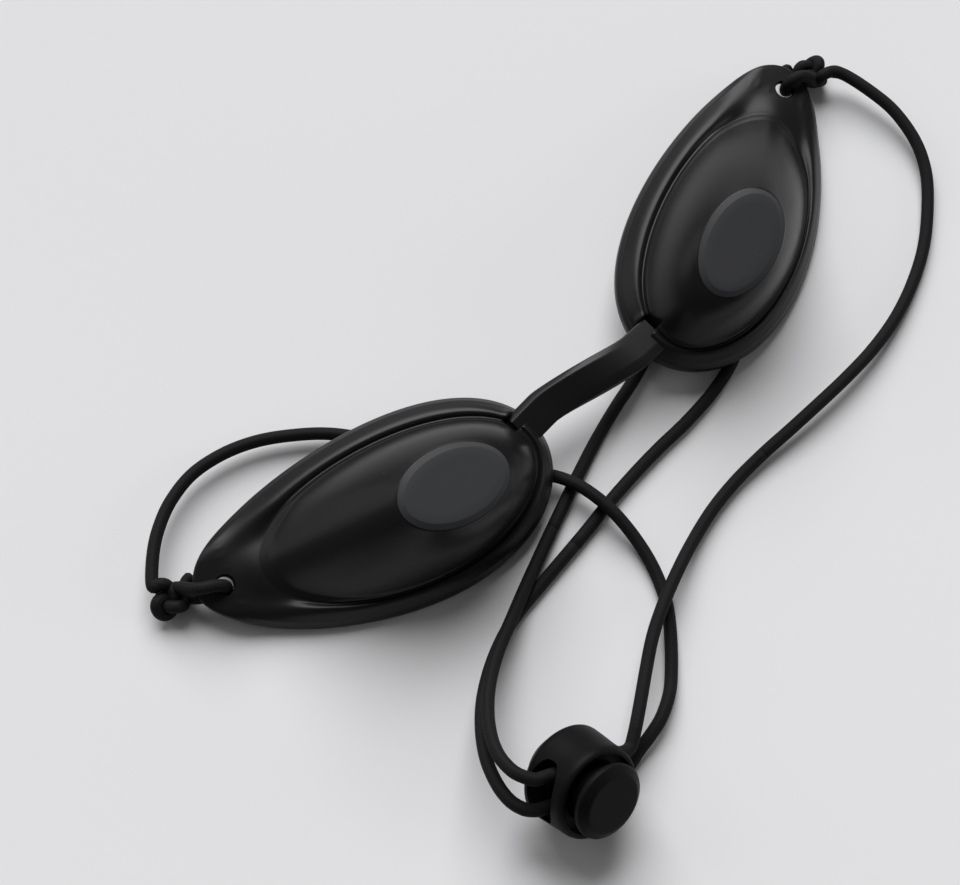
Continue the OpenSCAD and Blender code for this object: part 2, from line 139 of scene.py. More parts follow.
class MaskLockSizes(bpy.types.PropertyGroup):
    """Sizes of the cord lock."""
    barrel: length("Barrel", "Diameter of the barrel at its widest", 17.4)
    stem: length("Stem", "Diameter of the plunger's stem", 10.4)
    head: length("Head", "Diameter of the plunger's head", 13.5)
    head_thick: length("Head thickness", "Thickness of the plunger's head", 2.2)
    recess_gap: length("Recess gap", "Gap round the head where it sinks into the barrel", 0.4)
    rim: length("Rim", "Width of the barrel's rim round the head", 0.95)
    travel: length("Travel", "Travel of the plunger", 2.2)
    gap: length("Strand gap", "Distance between the two strands", 6.0)
    slot: length("Slot height", "Height of the slot through the barrel", 4.6)
    wire: length("Wire", "Diameter of the spring's wire", 0.4)
    coils: share("Coils", "Coils of the spring", 2.0, 6.0)
    turn: angle("Turn", "Turn of the lock on the table", 1.0)
    lean: angle("Lean", "Lean of the plunger from upright", 58.2)
    spin: angle("Spin", "Turn of the slot about the plunger", -36.0)


class MaskFinish(bpy.types.PropertyGroup):
    """Colours and gloss of the finishes."""
    rubber: colour("Cup black", "Colour of the moulded cups and bridge", (0.0080, 0.0079, 0.0087))
    rubber_rough: share("Cup roughness", "Roughness of the cups", 0.34)
    window: colour("Window grey", "Colour of the windows", (0.046, 0.047, 0.051))
    window_rough: share("Window roughness", "Roughness of the windows", 0.52)
    cord: colour("Cord black", "Colour of the elastic cord", (0.0095, 0.0094, 0.0100))
    lock: colour("Lock black", "Colour of the cord lock", (0.0058, 0.0057, 0.0063))
    dust: colour("Dust", "Colour of the fine dust on the cups", (0.05, 0.05, 0.052))
    cup_gloss: share("Cup gloss", "Specular level of the cups and bridge", 0.22)
    cord_rough: share("Cord roughness", "Roughness of the cord's cover", 0.7)
    lock_rough: share("Lock roughness", "Roughness of the cord lock", 0.45)
    dull_gloss: share("Dull gloss", "Specular level of the windows and the cord", 0.11)
    lock_gloss: share("Lock gloss", "Specular level of the cord lock", 0.06)
    steel: colour("Steel", "Colour of the spring wire", (0.56, 0.57, 0.58))
    floor: colour("Floor", "Colour of the pale floor", (0.77, 0.77, 0.785))


class MaskStage(bpy.types.PropertyGroup):
    """Strength of the studio light."""
    key: share("Key", "Strength of the broad light from behind", 3.5, 20.0)
    left: share("Left", "Strength of the low light from the back left", 0.35, 20.0)
    right: share("Right", "Strength of the low light from the right", 0.32, 20.0)
    world: share("Surround", "Strength of the even light all round", 0.10, 20.0)


def measures(name):
    """A property group's values by name, with lengths in millimetres."""
    group = getattr(bpy.context.scene, name)
    out = {}
    for key, prop in group.bl_rna.properties.items():
        if key not in ("rna_type", "name"):
            value = getattr(group, key)
            out[key] = 1000 * value if getattr(prop, "unit", "") == "LENGTH" else value
    return SimpleNamespace(**out)


# Directions of the view along the floor: to its right, and away from the camera

VIEW_RIGHT = Vector((0.6969, -0.7171, 0))
VIEW_AWAY = Vector((0.7171, 0.6969, 0))


# Places in the right cup's own frame, in millimetres: window, dome, notch, strap, hole and tab

WINDOW_MID = (-12.1, -6.8)
WINDOW_LEAN = (-0.2, -0.15, 1.0)
WINDOW_TURN = math.radians(18)
FOOT_MID = (-4.1, -2.4)
NOTCH_X = -28.6
NOTCH_Y = -7.0
NOTCH_DROP = 2.3
NOTCH_SPLIT = -6.6
EAR_X = -30.3
STRAP_START = NOTCH_X - 0.5
STRAP_FREE = -34.6
STRAP_APEX = {-1: 0.62, 1: -0.5}
STRAP_ROOF = {-1: 0.58, 1: 0.16}
HOLE = (26.3, 10.9)
CREASE = (24.25, 11.1)
CREASE_WAY = (0.937, 0.349)


# The lock's middle in the mask, and places in the lock's own frame: barrel, bore, strands and slot

LOCK_MID = (-53.68, -54.43, 9.248)
LOCK_BACK = 3.5
LOCK_REAR = -7.5
BORE_FLOOR = -6.2
STEM_FLOOR = -2.8
STRAND_INSET = 0.5
STRAND_OVERLAP = 1.4
SLOT_REACH = 12.0
SLOT_CLEAR = 0.3


# Routes of the knots and the cord, and the x at which the right stretch and the loop are parted

RIGHT_PART = 14.0
LOOP_PART = -22.0
KNOT_SIZE = 0.85
KNOT_RISE = 1.15
KNOT_GAP = 0.25
TIE_LEFT = [
    (-72.9, 20.1, 1.4), (-74.0, 20.0, 1.3), (-75.1, 19.3, 1.35), (-75.6, 17.9, 1.6), (-75.0, 16.4, 2.1),
    (-73.6, 15.2, 2.55), (-72.0, 14.2, 2.8), (-70.8, 13.4, 3.6), (-70.35, 13.1, 4.9), (-70.75, 13.3, 6.4),
    (-72.0, 14.1, 7.2), (-73.4, 14.95, 7.35), (-74.6, 16.0, 7.15), (-75.3, 17.2, 6.3), (-75.9, 18.7, 4.9),
    (-76.4, 19.9, 3.4)]
TIE_RIGHT = [
    (76.6, 13.0, 1.9), (75.2, 12.3, 1.6), (74.6, 11.0, 1.7), (74.2, 10.0, 2.3), (73.0, 9.6, 2.75),
    (71.75, 9.45, 3.5), (71.3, 9.36, 4.9), (71.65, 9.2, 6.4), (72.7, 8.85, 7.2), (74.0, 8.4, 7.25),
    (75.2, 7.9, 6.4), (75.9, 7.4, 5.0), (76.7, 7.1, 3.4)]
LEFT_START = (-78.0, 21.8, 4.85)
RIGHT_START = (80.2, 5.7, 4.75)
CORD_LEFT = [
    (-79, 22.6, 4.9), (-75.2, 26.6, 4.6), (-71.2, 29.6, 4.2), (-66.2, 32, 3.8), (-60, 33.2, 3.4),
    (-53.6, 32.3, 3.1), (-47.7, 29.9, 2.9), (-42.3, 26.2, 2.7), (-37.3, 21.6, 2.5), (-33, 15.8, 2.1),
    (-29.4, 9.6, 1.7), (-25.8, 3.2, 1.4), (-22.2, -2.8, 1.4), (-18.6, -8, 2), (-15.7, -12.2, 2.8),
    (-14.3, -15.9, 3.75), (-13.5, -20, 4), (-13.2, -25.2, 3.5), (-13.8, -31.3, 2.1),
    (-15.5, -37.2, 1.3), (-18.6, -42.9, 1.2), (-22.8, -47.7, 1.2), (-27.9, -52.4, 1.4),
    (-31, -54.5, 2), (-34.7, -56.1, 2.3), (-38.3, -56.8, 2.2), (-41.1, -57.1, 1.9),
    (-43.3, -57.5, 1.6), (-45.2, -57.8, 1.5), (-46.9, -58.1, 1.8)]
CORD_RIGHT = [
    (81.7, 3.5, 4.3), (82.6, -2.1, 3.9), (82.7, -8.2, 3.4), (81, -15, 2.6), (77.6, -20.6, 1.9),
    (72.2, -25.6, 1.4), (65.6, -30.2, 1.2), (58.2, -33.6, 1.4), (50.6, -35.9, 1.8), (42.8, -37.1, 2.4),
    (35, -37.4, 2.9), (27.6, -37.2, 3), (20.6, -36.8, 2.6), (13.8, -36.3, 2), (6.8, -36.2, 1.6),
    (-0.2, -36.9, 1.7), (-7.2, -38.5, 2.2), (-13.8, -40.6, 3.4), (-20, -43, 4.2), (-25.5, -45.6, 4.8),
    (-30.7, -48.8, 5.4), (-35.3, -51.8, 5.9), (-38.9, -54.1, 6.1), (-40.9, -55.3, 5.8),
    (-42.5, -56.1, 5.6), (-43.9, -56.1, 6.1)]
CORD_LOOP = [
    (-59.8, -50.1, 16), (-60.9, -48.4, 16.5), (-61.4, -46.3, 16.4), (-61, -43.3, 15.6),
    (-59.5, -40.1, 14.2), (-56.7, -36.5, 12), (-52.6, -32.8, 9.5), (-46.9, -29.2, 7),
    (-39.8, -26, 4.7), (-32.7, -23, 2.9), (-25.8, -20.3, 1.8), (-19, -17.8, 1.3), (-12.1, -15.4, 1.2),
    (-4.9, -13.1, 1.2), (2.3, -11.2, 1.2), (9.6, -9.6, 1.2), (16.4, -7.4, 1.2), (23, -5.8, 1.2),
    (29, -6.4, 1.2), (32.8, -10, 1.2), (32.4, -14.6, 1.2), (28.4, -18, 1.2), (23.4, -20.3, 1.2),
    (16.8, -21.7, 1.2), (9.3, -22.2, 1.2), (2.2, -22.1, 1.2), (-4.8, -22.3, 1.2), (-11.9, -22.8, 1.2),
    (-18.8, -23.6, 1.2), (-32.2, -24.8, 1.2), (-38.1, -25.5, 1.5), (-43.7, -27.1, 2.6),
    (-49.3, -29.7, 4.5), (-54.5, -33.1, 7), (-58.8, -37.1, 9.5), (-62.1, -41.4, 11.5),
    (-64, -45.6, 12.6), (-64.6, -49, 13), (-64.1, -51.4, 12.8), (-63.1, -52.7, 12.1)]


# Meshes

def unit(v):
    """Vectors of length 1 along v."""
    v = np.asarray(v, float)
    return v / np.linalg.norm(v, axis=-1, keepdims=True)


def ease(x):
    """Smooth step: 3x² - 2x³ between 0 and 1."""
    x = np.clip(x, 0, 1)
    return x * x * (3 - 2 * x)


def mixed(a, b, s):
    """a + (b - a) s."""
    return a + (b - a) * s


def round_angles(count):
    """Angles at equal steps round a circle."""
    return 2 * np.pi * np.arange(count) / count


def mesh_object(name, points, faces, smooth=35.0):
    """A mesh object at the origin from points in millimetres and faces, turned outwards by the sign of
    its volume, which is a sixth of the sum of the triple products of its triangles."""
    faces = [list(f) for f in faces]
    first, second, third, last = (np.array([f[i] for f in faces]) for i in (0, 1, 2, -1))
    p = np.asarray(points, float) / 1000
    volume = np.einsum("ij,ij->i", p[first], np.cross(p[second], p[third])).sum()
    volume += np.einsum("ij,ij->i", p[first], np.cross(p[third], p[last])).sum()
    if volume < 0:
        faces = [f[::-1] for f in faces]
    mesh = bpy.data.meshes.new(name)
    mesh.from_pydata(p.tolist(), [], faces)
    mesh.validate()
    mesh.shade_smooth()
    mesh.set_sharp_from_angle(angle=math.radians(smooth))
    obj = bpy.data.objects.new(name, mesh)
    bpy.context.scene.collection.objects.link(obj)
    return obj


def grid_faces(rows, columns, ring=False):
    """Faces between neighbouring rows of a grid. Its columns close on themselves, and its rows do if ring."""
    r, c = np.meshgrid(np.arange(rows if ring else rows - 1), np.arange(columns), indexing="ij")
    a, b = r * columns + c, r * columns + (c + 1) % columns
    d, e = ((r + 1) % rows) * columns + c, ((r + 1) % rows) * columns + (c + 1) % columns
    return np.stack([a, b, e, d], -1).reshape(-1, 4)


def closed_surface(name, rows, ring=False, smooth=35.0):
    """A closed surface through rows of points, shaped (rows, columns, 3). The rows either close on
    themselves as a ring or end in a fan round the middle of the first and of the last row."""
    rows = np.asarray(rows, float)
    n, m = rows.shape[:2]
    points, faces = rows.reshape(-1, 3), grid_faces(n, m, ring).tolist()
    if not ring:
        points = np.vstack([points, rows[0].mean(0), rows[-1].mean(0)])
        k = np.arange(m)
        faces += np.stack([np.full(m, n * m), (k + 1) % m, k], -1).tolist()
        faces += np.stack([np.full(m, n * m + 1), (n - 1) * m + k, (n - 1) * m + (k + 1) % m], -1).tolist()
    return mesh_object(name, points, faces, smooth)


def rounded(rows, times=2, ring=True):
    """Corner cutting along the rows: each pass puts points at a quarter and three quarters of every step."""
    for _ in range(times):
        after = np.roll(rows, -1, axis=0) if ring else rows[1:]
        here = rows if ring else rows[:-1]
        cut = np.stack([0.75 * here + 0.25 * after, 0.25 * here + 0.75 * after], 1)
        cut = cut.reshape((-1,) + rows.shape[1:])
        rows = cut if ring else np.concatenate([rows[:1], cut, rows[-1:]])
    return rows


def cut_away(obj, cutter, smooth=35.0):
    """The object less the cutter, with the result written into the object's mesh and the cutter removed."""
    change = obj.modifiers.new("cut", "BOOLEAN")
    change.operation, change.solver, change.object = "DIFFERENCE", "EXACT", cutter
    bpy.context.view_layer.update()
    made = bpy.data.meshes.new_from_object(obj.evaluated_get(bpy.context.evaluated_depsgraph_get()))
    obj.modifiers.clear()
    old, obj.data = obj.data, made
    made.name = obj.name
    bpy.data.meshes.remove(old)
    bpy.data.objects.remove(cutter)
    made.shade_smooth()
    made.set_sharp_from_angle(angle=math.radians(smooth))
    return obj


def curve_points(points, steps=8):
    """A smooth line through points: Catmull-Rom pieces p(s) = ½(2b + (c - a)s + (2a - 5b + 4c - d)s² +
    (3b - a - 3c + d)s³), with each end point repeated outwards."""
    p = np.asarray(points, float)
    p = np.vstack([2 * p[0] - p[1], p, 2 * p[-1] - p[-2]])
    a, b, c, d = p[:-3, None], p[1:-2, None], p[2:-1, None], p[3:, None]
    s = (np.arange(steps) / steps)[None, :, None]
    q = 0.5 * (2 * b + (c - a) * s + (2 * a - 5 * b + 4 * c - d) * s ** 2 + (3 * b - a - 3 * c + d) * s ** 3)
    return np.vstack([q.reshape(-1, 3), p[-2]])


def carried_frames(line):
    """Tangents and two normals along a line. Each normal is the last one less its part along the tangent."""
    t = unit(np.gradient(line, axis=0))
    n = np.empty_like(t)
    n[0] = unit(np.cross(t[0], (0.31, 0.24, 0.92)))
    for i in range(1, len(t)):
        n[i] = unit(n[i - 1] - (n[i - 1] @ t[i]) * t[i])
    return t, n, np.cross(t, n)


def cord_tube(name, line, radius, sides=18, blunt=0.35):
    """A round tube along a line: line + r (cos a · normal + sin a · second normal), with r drawn in over
    the last ring at each end. Its UV map holds the share of the way round and the metres along."""
    t, n, b = carried_frames(line)
    a = round_angles(sides)
    r = np.broadcast_to(np.asarray(radius, float), (len(line),)).copy()
    around = np.cos(a)[None, :, None] * n[:, None] + np.sin(a)[None, :, None] * b[:, None]
    rows = line[:, None] + r[:, None, None] * around
    front = line[0] - t[0] * blunt + (r[0] - blunt) * around[0]
    back = line[-1] + t[-1] * blunt + (r[-1] - blunt) * around[-1]
    rows = np.concatenate([front[None], rows, back[None]])
    obj = closed_surface(name, rows, smooth=50.0)
    along = np.concatenate([[0], np.cumsum(np.linalg.norm(np.diff(line, axis=0), axis=1))]) / 1000
    along = np.concatenate([[-blunt / 1000], along, [along[-1] + blunt / 1000]])
    v_of = np.concatenate([np.repeat(along, sides), [along[0], along[-1]]])
    u_of = np.concatenate([np.tile(np.arange(sides) / sides, len(along)), [0.5, 0.5]])
    mesh = obj.data
    corner = np.empty(len(mesh.loops), np.int32)
    mesh.loops.foreach_get("vertex_index", corner)
    count = np.empty(len(mesh.polygons), np.int32)
    mesh.polygons.foreach_get("loop_total", count)
    u, face = u_of[corner], np.repeat(np.arange(len(count)), count)
    top = np.zeros(len(count))
    np.maximum.at(top, face, u)
    u = np.where((top[face] > 0.75) & (u < 0.25), u + 1, u)
    layer = mesh.uv_layers.new(name="along")
    layer.data.foreach_set("uv", np.stack([u, v_of[corner]], -1).astype(np.float32).ravel())
    return obj


# The cups' shapes, in the right cup's own frame: x away from the nose, y to the forehead, z up

def egg(shape, t):
    """An egg outline of half length a, half width b, swell k and bow c: u = -a cos t and
    v = b sin t (1 + k cos t) + c cos² t, turned and moved to its middle."""
    a, b, k, c, turn, x, y = shape
    u, v = -a * np.cos(t), b * np.sin(t) * (1 + k * np.cos(t)) + c * np.cos(t) ** 2
    cos_turn, sin_turn = math.cos(turn), math.sin(turn)
    return np.stack([x + u * cos_turn - v * sin_turn, y + u * sin_turn + v * cos_turn], -1)


def drawn_in(shape, t, d):
    """The egg outline moved inwards by d, square to its tangent."""
    way = unit(egg(shape, t + 0.0175) - egg(shape, t - 0.0175))
    return egg(shape, t) + d * np.stack([way[..., 1], -way[..., 0]], -1)


def raised(flat, z):
    """Points of a flat outline at height z."""
    return np.concatenate([flat, np.broadcast_to(np.asarray(z, float), flat.shape[:-1])[..., None]], -1)


def window_axes():
    """The window's normal, its long axis and its short axis."""
    n = unit(WINDOW_LEAN)
    u = unit(np.cross((-math.sin(WINDOW_TURN), math.cos(WINDOW_TURN), 0), n))
    return n, u, np.cross(n, u)


def oval(w, t, grow, out):
    """The window's outline, grown and moved out along its normal: mid - u a cos t + v b sin t + n out."""
    n, u, v = window_axes()
    mid = np.array([*WINDOW_MID, w.height])
    c, s = np.cos(t)[..., None], np.sin(t)[..., None]
    return mid - (w.long / 2 + grow) * c * u + (w.wide / 2 + grow) * s * v + out * n


def rim_shape(c):
    """The egg outline of a cup's rim."""
    return (c.rim_length / 2, c.rim_width / 2, c.swell, 1.2, c.turn, 0.0, 0.0)


def foot_shape(c):
    """The egg outline of a dome's foot."""
    return (c.dome_length / 2, c.dome_width / 2, 0.05, 1.0, c.turn - math.radians(1.3), *FOOT_MID)


def near(t, middle, flat, fade):
    """1 within flat degrees of an angle and 0 past flat + fade degrees, with a smooth step between."""
    away = np.degrees(np.abs((t - middle + np.pi) % (2 * np.pi) - np.pi))
    return 1 - ease((away - flat) / fade)


def tab_share(t):
    """1 at the angles of the flat tab, 0 elsewhere."""
    return near(t, np.pi, 19, 33)


def tab_plane(c, p):
    """Height of the tab's top: it slopes down a little from the crease, both to the tip and to the dome."""
    d = (p[..., 0] - CREASE[0]) * CREASE_WAY[0] + (p[..., 1] - CREASE[1]) * CREASE_WAY[1]
    return c.tab_height - 0.1 * np.maximum(d, 0) - 0.07 * np.maximum(-d, 0)


def skirt_row(c, t, s):
    """The skirt's top at a share s of the way from the rim to the dome's foot: it climbs over the rolled
    lip to a crest, drops into the groove, and turns into the flat tab at the outer end."""
    tab = tab_share(t)
    flat = mixed(drawn_in(rim_shape(c), t, 0.35), egg(foot_shape(c), t), s)
    rolled = np.interp(s, [0, 0.12, 0.25, 0.45, 0.64, 0.76, 0.85, 0.93, 1.0],
                       [1.9, 2.75, 3.25, c.crest - 0.62, c.crest - 0.07, c.crest, c.crest - 0.12,
                        c.crest - 0.36, c.groove - 0.05])
    ramp = 1.1 * ease((s - 0.35) / 0.65) ** 1.5 * near(t, np.pi, 0, 42)
    plane = np.minimum(tab_plane(c, flat), c.tab_height) + ramp
    return raised(flat, mixed(rolled, plane, tab))


DOME_STEPS = (0, 0.02, 0.045, 0.075, 0.11, 0.18, 0.28, 0.40, 0.54, 0.70, 0.85, 0.95, 1)
DOME_STEEP = (0, 0.035, 0.062, 0.076, 0.105, 0.215, 0.40, 0.58, 0.735, 0.86, 0.945, 0.982, 1)
DOME_EVEN = (0, 0.012, 0.026, 0.04, 0.075, 0.155, 0.27, 0.405, 0.56, 0.725, 0.87, 0.96, 1)


def dome_row(c, w, t, q, low, high, inset, foot_z, side):
    """The dome at a share q of the way from its foot to the window: it leaves the foot over a narrow
    bead, climbs and rounds over to the window. The outer end climbs evenly, which leaves a soft ridge."""
    p, m = drawn_in(foot_shape(c), t, inset), oval(w, t, low, high)
    tail = ((1 - np.cos(t)) / 2) ** 2
    steep = np.interp(q, DOME_STEPS, DOME_STEEP)
    even = np.interp(q, DOME_STEPS, DOME_EVEN)
    if side == "inner":
        steep, even = 1 - (1 - q) ** 2.2, 1 - (1 - q) ** 1.55
    rise = mixed(steep, even, tail)
    z = mixed(foot_z, m[..., 2], rise)
    return raised(mixed(p, m[..., :2], q), z)


def cup_rows(c, w, t):
    """The closed section of a cup at every angle t, from the rim's underside over the skirt, the dome
    and the window's seat to the inner wall and back."""
    rim, foot = rim_shape(c), foot_shape(c)
    tab, pad = tab_share(t), near(t, 0.0, 20, 14)
    low = (c.tab_height - c.tab_thick) * tab
    seat = w.proud - w.thick
    under = mixed(mixed(c.crest - c.wall - 0.4, c.tab_height - c.tab_thick, tab), 0.9, pad)
    edge = np.minimum(tab_plane(c, egg(rim, t)), c.tab_height)
    rows = [raised(drawn_in(rim, t, 0.3), low), raised(drawn_in(rim, t, 0.05), low + 0.12),
            raised(egg(rim, t), low + 0.45), raised(egg(rim, t), mixed(1.15, edge - 0.55, tab)),
            raised(drawn_in(rim, t, 0.12), mixed(1.6, edge - 0.12, tab))]
    rows += [skirt_row(c, t, s)
             for s in (0.04, 0.12, 0.25, 0.38, 0.5, 0.6, 0.68, 0.74, 0.8, 0.86, 0.9, 0.94, 0.97)]
    foot_z = skirt_row(c, t, 1.0)[..., 2]
    rows += [dome_row(c, w, t, q, 0.35, 0.0, 0.0, foot_z, "outer")
             for q in (*DOME_STEPS[:-2], 0.94)]
    rows += [oval(w, t, grow, out) for grow, out in (
        (0.4, 0.02), (0.08, 0.0), (0.05, -0.15), (0.05, seat + 0.15), (0.05, seat), (-0.1, seat),
        (0.15 - w.ledge, seat), (-w.ledge, seat - 0.15), (-w.ledge, seat - c.wall))]
    rows += [dome_row(c, w, t, q, -w.ledge, seat - c.wall, c.wall - 0.1, under, "inner")
             for q in (0.86, 0.68, 0.48, 0.28, 0.12)]
    f_in, l_in = drawn_in(foot, t, c.wall - 0.1), drawn_in(rim, t, c.lip)
    lid = mixed(under, np.maximum(under - 0.5, low), 1 - tab)
    rows += [raised(f_in, under), raised(mixed(f_in, l_in, 0.5), under), raised(l_in, lid),
             raised(l_in, mixed(lid, low, 0.5)), raised(l_in, low),
             raised(drawn_in(rim, t, c.lip * 0.6), low)]
    return np.stack(rows)


def notched(c, b, p):
    """Lowers the crest over the upper half of the strap with rounded shoulders, and raises a small ear
    beside it: z less the part over the strap times smooth steps in y and x. The lower half of the strap
    runs through the skirt's wall."""
    high, low = NOTCH_Y + b.wide / 2 - p[..., 1], p[..., 1] - NOTCH_SPLIT
    inside = ease((high + 0.15) / 0.7) * ease((low + 0.35) / 0.7)
    reach = 1 - ease((p[..., 0] - NOTCH_X - 0.05) / 0.7)
    floor_z = c.crest - NOTCH_DROP + 0.6
    over = np.maximum(p[..., 2] - floor_z, 0) * (p[..., 0] < NOTCH_X + 1.2)
    ear = 0.4 * np.exp(-((high + 0.45) / 0.6) ** 2) * np.exp(-((p[..., 0] - EAR_X) / 1.1) ** 2)
    ear = ear * (p[..., 2] > 3.2)
    q = p.copy()
    q[..., 2] = p[..., 2] - over * inside * reach + ear * (1 - inside)
    return q


def placed(c, side, p):
    """Points of the right cup's frame in the mask's: rolled about x, wrapped about y, set aside from the
    nose line and lifted to stand on the table. Side -1 is the mirrored left cup."""
    t = round_angles(60)
    low = (c.tab_height - c.tab_thick) * near(t, np.pi, 26, 20)
    edge = leaned(c, raised(egg(rim_shape(c), t), 0.35))
    base = leaned(c, raised(drawn_in(rim_shape(c), t, 0.25), low))
    up = -base[:, 2].min()
    over = -(edge[:, 1].max() + edge[:, 1].min()) / 2
    q = leaned(c, np.asarray(p, float))
    return np.stack([side * (c.apart + q[..., 0]), over + q[..., 1] - side * c.glide / 2, up + q[..., 2]], -1)


def leaned(c, p):
    """Rolled about x, then wrapped about y."""
    cr, sr, cw, sw = math.cos(c.roll), math.sin(c.roll), math.cos(c.wrap), math.sin(c.wrap)
    y, z = p[..., 1] * cr - p[..., 2] * sr, p[..., 1] * sr + p[..., 2] * cr
    return np.stack([p[..., 0] * cw + z * sw, y, -p[..., 0] * sw + z * cw], -1)


def outline_angles(count):
    """Angles round a cup, closer together at the inner and the outer end: t - 0.22 sin 2t."""
    t = 2 * np.pi * (np.arange(count) + 0.5) / count
    return t - 0.22 * np.sin(2 * t)


# Shader maths

class Wire:
    """One socket of a material that holds a number. Python's operators on it add Math nodes."""

    def __init__(self, paint, socket):
        self.paint, self.socket = paint, socket

    def _math(self, operation, a, b=None):
        values = {0: a} if b is None else {0: a, 1: b}
        return self.paint.node("ShaderNodeMath", {"operation": operation}, values)

    def __add__(self, other): return self._math("ADD", self, other)
    def __radd__(self, other): return self._math("ADD", other, self)
    def __sub__(self, other): return self._math("SUBTRACT", self, other)
    def __rsub__(self, other): return self._math("SUBTRACT", other, self)
    def __mul__(self, other): return self._math("MULTIPLY", self, other)
    def __rmul__(self, other): return self._math("MULTIPLY", other, self)

    def sine(self): return self._math("SINE", self)

    def steps(self, low, high):
        """0 below low, 1 above high, smooth between."""
        return self.paint.node("ShaderNodeMapRange", {"interpolation_type": "SMOOTHSTEP"},
                               {0: self, 1: low, 2: high})


class Paint:
    """The nodes of one material round a Principled shader."""

    def __init__(self, name):
        self.material = bpy.data.materials.new(name)
        self.material.use_nodes = True
        self.tree = self.material.node_tree
        self.shader = next(n for n in self.tree.nodes if n.type == "BSDF_PRINCIPLED")

    def node(self, kind, settings=None, sockets=None, out=0):
        """Any node from its type, its settings, and the values or wires of its sockets."""
        made = self.tree.nodes.new(kind)
        for key, value in (settings or {}).items():
            setattr(made, key, value)
        for key, value in (sockets or {}).items():
            if isinstance(value, Wire):
                self.tree.links.new(value.socket, made.inputs[key])
            else:
                made.inputs[key].default_value = value
        return Wire(self, made.outputs[out])

    def place(self):
        """The object's own coordinates in metres."""
        return self.node("ShaderNodeTexCoord", out="Object")

    def parts(self, vector):
        """The three numbers of a vector."""
        made = self.tree.nodes.new("ShaderNodeSeparateXYZ")
        self.tree.links.new(vector.socket, made.inputs[0])
        return [Wire(self, o) for o in made.outputs]

    def noise(self, vector, scale, detail=2.0, rough=0.5):
        """Cloudy noise from 0 to 1."""
        return self.node("ShaderNodeTexNoise", {}, {"Vector": vector, "Scale": scale, "Detail": detail,
                                                    "Roughness": rough})

    def blend(self, low, high, share_of):
        """A colour between two colours."""
        made = self.tree.nodes.new("ShaderNodeMix")
        made.data_type = "RGBA"
        self.tree.links.new(share_of.socket, made.inputs["Factor"])
        for socket, value in ((made.inputs[6], low), (made.inputs[7], high)):
            if isinstance(value, Wire):
                self.tree.links.new(value.socket, socket)
            else:
                socket.default_value = (*value, 1.0)
        return Wire(self, made.outputs[2])

    def bump(self, height, strength, distance, normal=None):
        """A bump's normal."""
        sockets = {"Height": height, "Strength": strength, "Distance": distance}
        if normal is not None:
            sockets["Normal"] = normal
        return self.node("ShaderNodeBump", {}, sockets)

    def finish(self, **values):
        """Sets the Principled shader's sockets, named with _ for a space."""
        for key, value in values.items():
            socket = self.shader.inputs[key.replace("_", " ")]
            if isinstance(value, Wire):
                self.tree.links.new(value.socket, socket)
            else:
                socket.default_value = value
        return self.material


def shaded(value, by):
    """A colour made darker by a share under 1, or lighter by one over 1."""
    return tuple(by * x for x in value)


def rubber_material():
    """Satin black moulded plastic: faint clouding, fine spark-eroded grain and rubbed patches."""
    f = measures("mask_finish")
    p = Paint("cup_rubber")
    where = p.place()
    cloud, grain = p.noise(where, 55.0, 3.0), p.noise(where, 5200.0, 1.0)
    rub = p.noise(where, 160.0, 4.0, 0.6)
    dust = p.noise(where, 900.0, 2.0, 0.7).steps(0.7, 0.78)
    tone = p.blend(shaded(f.rubber, 0.86), shaded(f.rubber, 1.16), cloud)
    tone = p.blend(tone, tuple(f.dust), dust * 0.35)
    rough = f.rubber_rough + 0.09 * (cloud - 0.5) + 0.07 * (rub - 0.5) + 0.1 * dust
    return p.finish(Base_Color=tone, Roughness=rough, Specular_IOR_Level=f.cup_gloss,
                    Normal=p.bump(grain, 0.12, 0.00003, p.bump(rub, 0.06, 0.0002)))


def matte_material(name, tone, spread, clouds, grains, rough, gloss, tooth):
    """Matte plastic: a colour that varies by a share spread in faint clouds, and a fine even grain."""
    p = Paint(name)
    where = p.place()
    cloud, grain = p.noise(where, *clouds), p.noise(where, grains, 1.0)
    return p.finish(Base_Color=p.blend(shaded(tone, 1 - spread), shaded(tone, 1 + spread), cloud),
                    Roughness=rough[0] + rough[1] * (cloud - 0.5), Specular_IOR_Level=gloss,
                    Normal=p.bump(grain, *tooth))


def window_material():
    """Flat dark grey matte plate with a fine even tooth."""
    f = measures("mask_finish")
    return matte_material("window_plate", f.window, 0.06, (70.0, 2.0), 6500.0, (f.window_rough, 0.06),
                          f.dull_gloss, (0.1, 0.00002))


def cord_material():
    """Black braided cover: yarns wind round the cord each way, sin(n u + k v) times sin(n u - k v), which
    gives the relief and also paints a highlight on the yarns' crowns and shade between them into the colour.
    """
    f, s = measures("mask_finish"), measures("mask_cord")
    p = Paint("elastic_cord")
    u, v, _ = p.parts(p.node("ShaderNodeUVMap", {"uv_map": "along"}))
    turns, run = u * (math.pi * s.strands), v * (math.pi * s.strands / (s.pitch / 1000))
    weave = (turns + run).sine() * (turns - run).sine()
    fuzz = p.noise(p.place(), 2600.0, 3.0, 0.7)
    # The weave lightens the colour on the yarns' crowns and darkens it between them, as painted highlight and
    # painted shade; the fuzz adds random tone, and the weave also drives the real bump.
    yarn_shade_and_relief = 0.5 + 0.5 * weave
    tone = p.blend(shaded(f.cord, 0.7), shaded(f.cord, 1.35), yarn_shade_and_relief * 0.6 + fuzz * 0.4)
    return p.finish(Base_Color=tone, Roughness=f.cord_rough + 0.12 * (fuzz - 0.5),
                    Specular_IOR_Level=f.dull_gloss, Normal=p.bump(yarn_shade_and_relief * 0.8 + fuzz * 0.3, 0.35, 0.00008))


